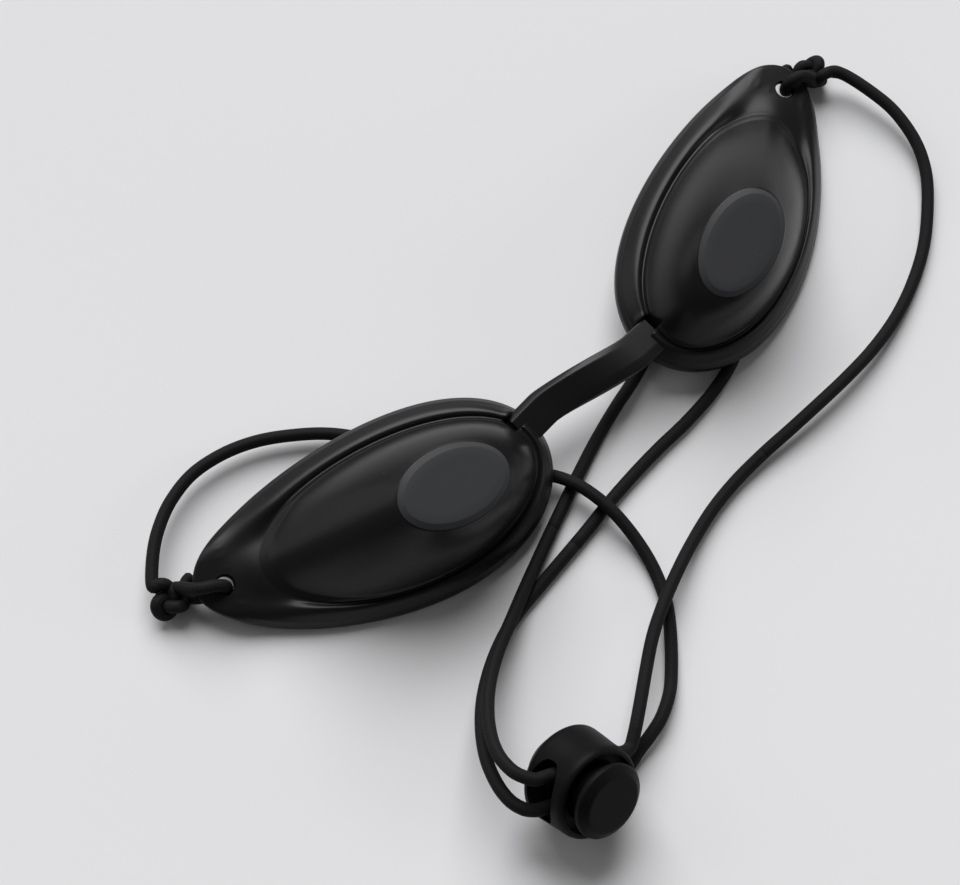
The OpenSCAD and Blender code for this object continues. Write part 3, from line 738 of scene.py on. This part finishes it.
def strand_material():
    """Black braided cover of the two short strands inside the lock, from their own coordinates."""
    f = measures("mask_finish")
    p = Paint("elastic_strand")
    fuzz = p.noise(p.place(), 1400.0, 3.0, 0.7)
    return p.finish(Base_Color=p.blend(shaded(f.cord, 0.7), shaded(f.cord, 1.35), fuzz),
                    Roughness=f.cord_rough, Specular_IOR_Level=f.dull_gloss,
                    Normal=p.bump(fuzz, 0.4, 0.00012))


def lock_material():
    """Satin black moulded plastic with a fine grain."""
    f = measures("mask_finish")
    return matte_material("cord_lock_plastic", f.lock, 0.15, (130.0, 3.0), 4200.0, (f.lock_rough, 0.08),
                          f.lock_gloss, (0.12, 0.00003))


def steel_material():
    """Plain drawn wire with fine draw marks."""
    f = measures("mask_finish")
    p = Paint("spring_wire")
    marks = p.noise(p.place(), 2400.0, 2.0)
    return p.finish(Base_Color=p.blend(shaded(f.steel, 0.85), f.steel, marks), Metallic=1.0,
                    Roughness=0.28 + 0.1 * marks)


def finish_of(name):
    """A material by its name, made the first time that it is wanted."""
    makers = {"cup_rubber": rubber_material, "window_plate": window_material,
              "elastic_cord": cord_material, "elastic_strand": strand_material,
              "cord_lock_plastic": lock_material, "spring_wire": steel_material}
    return bpy.data.materials.get(name) or makers[name]()


def dressed(obj, material):
    """Gives a piece its material and its slot."""
    obj.data.materials.clear()
    obj.data.materials.append(finish_of(material))
    return obj


# The cord lock's own frame: z out along the plunger, x along the slot, y from strand to strand

def lock_place(k, p):
    """Points of the lock's frame in the mask's: spun about z, leaned about x, turned about z and moved."""
    turn = Matrix.Rotation(k.turn, 3, "Z") @ Matrix.Rotation(k.lean, 3, "X") @ Matrix.Rotation(k.spin, 3, "Z")
    return np.asarray(p, float) @ np.array(turn).T + np.array(LOCK_MID)


def turned(k, outline):
    """A turned piece: the outline (r, z), rounded by corner cutting, carried round z."""
    pts, a = rounded(np.array(outline, float), ring=False), round_angles(96)
    rows = np.stack([pts[:, :1] * np.cos(a), pts[:, :1] * np.sin(a), np.repeat(pts[:, 1:], len(a), 1)], -1)
    return lock_place(k, rows)


def slot_rows(half_y, half_z, mid_z, flare):
    """A slot along x: its section is |y/a|³ + |z/b|³ = 1, which widens towards both ends."""
    x = SLOT_REACH * np.array([-1, -0.72, -0.6, -0.42, 0.42, 0.6, 0.72, 1])
    wide = 1 + flare * np.array([1, 0.5, 0.15, 0, 0, 0.15, 0.5, 1])
    long = 1 + 0.25 * (wide - 1)
    c, s = np.cos(round_angles(48)), np.sin(round_angles(48))
    y, z = np.sign(c) * np.abs(c) ** (2 / 3), np.sign(s) * np.abs(s) ** (2 / 3)
    return np.stack([np.repeat(x[:, None], len(c), 1), long[:, None] * half_y * y,
                     mid_z + wide[:, None] * half_z * z], -1)


# Operators

class MASK_OT_camera(bpy.types.Operator):
    """Make the camera that looks down on the mask from its left"""
    bl_idname = "mask.camera"
    bl_label = "Camera"

    def execute(self, context):
        data = bpy.data.cameras.new("camera")
        data.lens, data.sensor_width = 86.6, 36.0
        data.clip_start, data.clip_end = 0.01, 20.0
        camera = bpy.data.objects.new("camera", data)
        context.scene.collection.objects.link(camera)
        up, ahead = Vector((0.6649, 0.6462, 0.3746)), Vector((0.2686, 0.2611, -0.9272))
        place = Matrix((VIEW_RIGHT, up, -ahead)).transposed().to_4x4()
        place.translation = Vector((-0.1303, -0.1062, 0.3839))
        camera.matrix_world = place
        context.scene.camera = camera
        return {"FINISHED"}


class MASK_OT_cord(bpy.types.Operator):
    """Make the free stretches of the elastic cord along their routes"""
    bl_idname = "mask.cord"
    bl_label = "Cord"

    def execute(self, context):
        s, k = measures("mask_cord"), measures("mask_lock")
        half = k.barrel / 2 - STRAND_INSET
        end = {(x, y): lock_place(k, (x * half, y * k.gap / 2, 0)) for x in (-1, 1) for y in (-1, 1)}
        into = {x: lock_place(k, (x * (half - STRAND_OVERLAP), 0, 0)) - lock_place(k, (x * half, 0, 0))
                for x in (-1, 1)}
        left = curve_points([LEFT_START] + CORD_LEFT + [end[1, -1], end[1, -1] + into[1]])
        right = curve_points([RIGHT_START] + CORD_RIGHT + [end[1, 1], end[1, 1] + into[1]])
        loop = curve_points([end[-1, 1] + into[-1], end[-1, 1]] + CORD_LOOP
                            + [end[-1, -1], end[-1, -1] + into[-1]])
        part = int(np.argmin(np.abs(right[:, 0] - RIGHT_PART)))
        crossing = np.where(np.diff(np.sign(loop[:, 0] - LOOP_PART)))[0]
        first, last = int(crossing[0]), int(crossing[-1])
        pieces = [
            ("cord_left_run", left, "lock", (-0.018, -0.042, 0), (-0.047, -0.058, 0), ["cord_left"]),
            ("cord_right_outer", right[:part + 1], "right_side",
             (0.016, -0.036, 0), (0.068, -0.012, 0), ["cord_right"]),
            ("cord_right_inner", right[part:], "lock", (-0.004, -0.037, 0), (-0.0437, -0.0552, 0), []),
            ("cord_loop_upper", loop[:first + 1], "lock",
             (-0.026, -0.0205, 0), (-0.0595, -0.049, 0), ["cord_loop"]),
            ("cord_loop_bight", loop[first:last + 1], "right_side",
             (-0.002, -0.018, 0), (0.02, -0.018, 0), []),
            ("cord_loop_lower", loop[last:], "lock", (-0.026, -0.0243, 0), (-0.0615, -0.0505, 0), [])]
        for name, line, body, start, stop, nodes in pieces:
            obj = dressed(cord_tube(name, line, s.thick / 2, blunt=0.02), "elastic_cord")
            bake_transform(obj)
            if nodes:
                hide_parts(*nodes)
        for node in ("strand_upper", "strand_lower"):
            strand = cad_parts[node]
            strand.data.materials.clear()
            strand.data.materials.append(finish_of("elastic_strand"))
        return {"FINISHED"}


def overhand(mid, way):
    """An overhand knot, a trefoil left open at one lobe: mid + size ((sin t + 2 sin 2t) way +
    (cos t - 2 cos 2t) aside) - rise sin 3t up, for t from 3π - gap back to π + gap."""
    way = unit(np.array([*way, 0.0]))
    aside = np.cross(way, (0, 0, 1))
    t = np.linspace(3 * np.pi - KNOT_GAP, np.pi + KNOT_GAP, 24)
    flat = np.outer(np.sin(t) + 2 * np.sin(2 * t), way) + np.outer(np.cos(t) - 2 * np.cos(2 * t), aside)
    return np.array(mid) + KNOT_SIZE * flat - KNOT_RISE * np.outer(np.sin(3 * t), (0, 0, 1))


class MASK_OT_knots(bpy.types.Operator):
    """Make the two knots with their ties through the tabs"""
    bl_idname = "mask.knots"
    bl_label = "Knots"

    def execute(self, context):
        s = measures("mask_cord")
        left = np.vstack([TIE_LEFT, overhand((-78.7, 19.0, 2.75), (0.877, -0.48)),
                          [(-77.45, 21.3, 4.75), (-78.45, 22.2, 4.95), (-79.0, 22.7, 4.9)]])
        right = np.vstack([TIE_RIGHT, overhand((78.43, 8.89, 2.75), (-0.998, 0.05)),
                           [(78.3, 6.3, 4.75), (79.6, 5.9, 4.9), (80.9, 5.2, 4.6), (81.6, 3.9, 4.35)]])
        for name, line, body, node in (("knot_left", left, "left_side", "left_knot"),
                                       ("knot_right", right, "right_side", "right_knot")):
            line = curve_points(line, 6)
            obj = dressed(cord_tube(name, line, s.knot_thick / 2, blunt=0.5), "elastic_cord")
            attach(obj, body)
            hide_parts(node)
        return {"FINISHED"}


class MASK_OT_cups(bpy.types.Operator):
    """Make the two eye cups with their skirts, domes, window seats, tabs and notches"""
    bl_idname = "mask.cups"
    bl_label = "Eye cups"

    def execute(self, context):
        c, w, b = measures("mask_cup"), measures("mask_window"), measures("mask_bridge")
        rows = notched(c, b, rounded(cup_rows(c, w, outline_angles(380))))
        a, r = round_angles(56), c.hole / 2
        z = np.array([-3.0, 2.0, 2.45, 2.8, 3.6, 3.95, 4.25, 6.0])
        wide = np.array([r + 0.5, r + 0.45, r + 0.12, r, r, r + 0.12, r + 0.45, r + 1.6])
        drill = np.stack([HOLE[0] + wide[:, None] * np.cos(a), HOLE[1] + wide[:, None] * np.sin(a),
                          np.repeat(z[:, None], len(a), 1)], -1)
        for side, name in ((-1, "left_cup"), (1, "right_cup")):
            obj = closed_surface(name + "_shell", placed(c, side, rows), ring=True, smooth=40.0)
            cut_away(obj, closed_surface("drill", placed(c, side, drill)), smooth=40.0)
            dressed(obj, "cup_rubber")
            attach(obj, "left_side" if side < 0 else "right_side")
            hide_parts(name)
        return {"FINISHED"}


class MASK_OT_windows(bpy.types.Operator):
    """Make the two flat bevelled windows"""
    bl_idname = "mask.windows"
    bl_label = "Windows"

    def execute(self, context):
        c, w = measures("mask_cup"), measures("mask_window")
        t = round_angles(160)
        low = w.proud - w.thick + 0.03
        steps = [(-5.0, low), (-0.12, low), (0.0, low + 0.12), (0.0, -0.02), (0.2, 0.03), (0.3, 0.07),
                 (0.28, 0.14), (0.2, 0.2), (-w.bevel + 0.12, w.proud - 0.05), (-w.bevel - 0.06, w.proud),
                 (-2.5, w.proud), (-5.5, w.proud)]
        rows = np.stack([oval(w, t, grow, out) for grow, out in steps])
        for side, name in ((-1, "left_window"), (1, "right_window")):
            obj = closed_surface(name + "_plate", placed(c, side, rows), smooth=18.0)
            dressed(obj, "window_plate")
            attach(obj, "left_side" if side < 0 else "right_side")
            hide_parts(name)
        return {"FINISHED"}


def strap_section(b, c, side, x):
    """The strap's section in a cup's frame: flat below, and above a soft roof whose ridge lies at a
    share apex of the half width: up = 1 - roof + roof (1 - |a - apex| / reach) to the power 0.8."""
    apex, roof = STRAP_APEX[side], STRAP_ROOF[side]
    a = np.concatenate([[-1], np.linspace(-1, 1, 17), [1], np.linspace(0.93, -0.93, 5)])
    reach = np.where(a > apex, 1 - apex, 1 + apex)
    up = 1 - roof + roof * np.maximum(1 - np.abs(a - apex) / reach, 0) ** 0.8
    up[0] = up[18] = 0.1
    up[19:] = 0
    z = c.crest - NOTCH_DROP + 0.05 + up * b.end_thick
    return np.stack([np.full(len(a), x), NOTCH_Y + a * b.wide / 2, z], -1)


class MASK_OT_bridge(bpy.types.Operator):
    """Make the soft nose bridge between the two notches"""
    bl_idname = "mask.bridge"
    bl_label = "Nose bridge"

    def execute(self, context):
        c, b = measures("mask_cup"), measures("mask_bridge")
        ends = {(side, x): placed(c, side, strap_section(b, c, side, x))
                for side in (-1, 1) for x in (STRAP_FREE, STRAP_START)}
        left, right = ends[-1, STRAP_FREE], ends[1, STRAP_FREE]
        left_in, right_in = ends[-1, STRAP_START], ends[1, STRAP_START]
        away_left, away_right = unit(left[8] - left_in[8]), unit(right[8] - right_in[8])
        span = 0.5 * np.linalg.norm(left[8] - right[8])
        s = np.linspace(0, 1, 49)[1:-1, None, None]
        h = s * s * (3 - 2 * s)
        bow = s * (1 - s) ** 2 * away_left + s * s * (1 - s) * away_right
        mid = mixed(left[None], right[None], h) + span * bow
        low = (mid[:, 20:21] + mid[:, 22:23]) / 2
        fat = 1 + (b.mid_thick / b.end_thick - 1) * np.sin(np.pi * s[..., 0]) ** 2
        mid[..., 2] = low[..., 2] + (mid[..., 2] - low[..., 2]) * fat - (fat - 1) * b.end_thick * 0.45
        g = np.linspace(0, 1, 5)[:, None, None]
        rows = np.concatenate([mixed(left_in[None], left[None], g), mid,
                               mixed(right[None], right_in[None], g)])
        rows = rounded(rows.transpose(1, 0, 2), 2).transpose(1, 0, 2)
        obj = closed_surface("bridge_strap", rows, smooth=50.0)
        dressed(obj, "cup_rubber")
        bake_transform(obj)
        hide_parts("nose_bridge")
        return {"FINISHED"}


class MASK_OT_lock(bpy.types.Operator):
    """Make the cord lock's slotted barrel and its sprung plunger"""
    bl_idname = "mask.lock"
    bl_label = "Cord lock"

    def execute(self, context):
        k, cord = measures("mask_lock"), measures("mask_cord")
        r, bore, recess, floor_z = k.barrel / 2, k.stem / 2 + 0.1, k.head / 2 + k.recess_gap, k.slot / 2 + 1
        face, rim = floor_z + 1.8, recess + k.rim
        body = [(0.01, LOCK_REAR), (4.3, LOCK_REAR), (5.0, LOCK_REAR + 0.35), (6.75, -5.5), (7.9, -4.5),
                (r - 0.12, -LOCK_BACK - 0.25), (r, -LOCK_BACK + 0.2), (r - 0.1, -1.0), (rim + 0.33, 1.6),
                (rim + 0.32, face - 1.4), (rim + 0.24, face - 0.7), (rim, face - 0.2),
                (rim - 0.3, face + 0.02), (recess + 0.3, face + 0.02), (recess + 0.06, face - 0.12),
                (recess, face - 0.5), (recess, floor_z + 0.1), (recess - 0.15, floor_z),
                (bore + 0.12, floor_z), (bore, floor_z - 0.15), (bore, 0), (bore, BORE_FLOOR + 0.2),
                (bore - 0.2, BORE_FLOOR), (0.01, BORE_FLOOR)]
        shell = closed_surface("lock_barrel", turned(k, body), smooth=40.0)
        half_y, half_z = (k.gap + k.slot + 0.6) / 2, k.slot / 2
        mouth = slot_rows(half_y, half_z, 0.0, 0.55)
        cut_away(shell, closed_surface("mouth", lock_place(k, mouth)))
        dressed(shell, "cord_lock_plastic")
        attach(shell, "lock")
        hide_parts("lock_body")
        base, edge, stem = floor_z + k.travel + 1.1, k.head / 2, k.stem / 2
        top = base + k.head_thick
        head = [(0.01, STEM_FLOOR), (stem - 0.3, STEM_FLOOR), (stem, STEM_FLOOR + 0.3),
                (stem, STEM_FLOOR + 0.5), (stem, base - 0.4), (stem, base), (stem + 0.1, base),
                (edge - 0.4, base), (edge - 0.1, base + 0.1), (edge, base + 0.35), (edge, top - 1.25),
                (edge - 0.12, top - 1.0), (edge - 0.4, top - 0.78), (edge - 1.25, top - 0.16),
                (edge - 1.55, top - 0.02), (edge - 1.9, top), (1.2, top), (0.01, top)]
        plunger = closed_surface("lock_button", turned(k, head), smooth=40.0)
        half_z = (cord.thick + SLOT_CLEAR + k.travel) / 2
        cross = slot_rows(k.gap / 2 + 1.5, half_z, k.travel / 2, 0.0)
        cut_away(plunger, closed_surface("cross", lock_place(k, cross)))
        dressed(plunger, "cord_lock_plastic")
        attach(plunger, "plunger")
        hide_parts("lock_plunger")
        coil, run = (stem - 1 - k.wire / 2), np.linspace(0, 1, 97)
        about = 2 * np.pi * k.coils * run
        wire = np.stack([coil * np.cos(about), coil * np.sin(about),
                         mixed(BORE_FLOOR + k.wire / 2, STEM_FLOOR - k.wire / 2, run)], -1)
        spring = cord_tube("lock_coil", lock_place(k, wire), k.wire / 2, 12, 0.05)
        dressed(spring, "spring_wire")
        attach(spring, "lock")
        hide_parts("lock_spring")
        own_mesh(spring)
        return {"FINISHED"}


class MASK_OT_stage(bpy.types.Operator):
    """Make the pale floor and the soft studio light"""
    bl_idname = "mask.stage"
    bl_label = "Stage"

    def execute(self, context):
        f, s = measures("mask_finish"), measures("mask_stage")
        context.scene.view_settings.view_transform = "Standard"
        mesh = bpy.data.meshes.new("floor")
        mesh.from_pydata([(-3, -3, 0), (3, -3, 0), (3, 3, 0), (-3, 3, 0)], [], [(0, 1, 2, 3)])
        floor = bpy.data.objects.new("floor", mesh)
        context.scene.collection.objects.link(floor)
        p = Paint("pale_floor")
        cloud = p.noise(p.place(), 5.0, 1.0)
        tone = p.blend(shaded(f.floor, 0.985), shaded(f.floor, 1.015), cloud)
        mesh.materials.append(p.finish(Base_Color=tone, Roughness=0.85, Specular_IOR_Level=0.1))
        world = bpy.data.worlds.new("studio")
        context.scene.world = world
        world.use_nodes = True
        surround = world.node_tree.nodes["Background"].inputs
        surround["Color"].default_value = (1.0, 1.0, 1.0, 1.0)
        surround["Strength"].default_value = s.world
        away, right = VIEW_AWAY, VIEW_RIGHT
        for name, power, spread, towards in (
                ("key_light", s.key, 50.0, away - right * 0.15 + Vector((0, 0, 1.0))),
                ("left_light", s.left, 40.0, away * 0.35 - right * 0.9 + Vector((0, 0, 0.5))),
                ("right_light", s.right, 30.0, right * 0.95 + Vector((0, 0, 0.3)))):
            data = bpy.data.lights.new(name, "SUN")
            data.energy, data.angle = power, math.radians(spread)
            lamp = bpy.data.objects.new(name, data)
            lamp.rotation_mode = "QUATERNION"
            lamp.rotation_quaternion = towards.to_track_quat("Z", "Y")
            context.scene.collection.objects.link(lamp)
        return {"FINISHED"}


class MASK_PT_panel(bpy.types.Panel):
    """Buttons and sizes of the eye mask"""
    bl_idname = "MASK_PT_panel"
    bl_label = "Eye mask"
    bl_space_type = "VIEW_3D"
    bl_region_type = "UI"
    bl_category = "Eye mask"

    def draw(self, context):
        column = self.layout.column(align=True)
        for operator in OPERATORS:
            column.operator(operator.bl_idname)
        for name, kind in GROUPS.items():
            group = getattr(context.scene, name)
            box = self.layout.box()
            box.label(text=kind.__doc__)
            for key in group.bl_rna.properties.keys():
                if key not in ("rna_type", "name"):
                    box.prop(group, key)


OPERATORS = (MASK_OT_camera, MASK_OT_cord, MASK_OT_knots, MASK_OT_cups, MASK_OT_windows, MASK_OT_bridge,
             MASK_OT_lock, MASK_OT_stage)
GROUPS = {"mask_cup": MaskCupSizes, "mask_window": MaskWindowSizes, "mask_bridge": MaskBridgeSizes,
          "mask_cord": MaskCordSizes, "mask_lock": MaskLockSizes, "mask_finish": MaskFinish,
          "mask_stage": MaskStage}


def register():
    for kind in (*GROUPS.values(), *OPERATORS, MASK_PT_panel):
        bpy.utils.register_class(kind)
    for name, kind in GROUPS.items():
        setattr(bpy.types.Scene, name, bpy.props.PointerProperty(type=kind))


def unregister():
    for name in GROUPS:
        delattr(bpy.types.Scene, name)
    for kind in (MASK_PT_panel, *reversed(OPERATORS), *reversed(list(GROUPS.values()))):
        bpy.utils.unregister_class(kind)


def main():
    register()
    for operator in OPERATORS:
        part, name = operator.bl_idname.split(".")
        getattr(getattr(bpy.ops, part), name)()


if __name__ == "__main__":
    main()
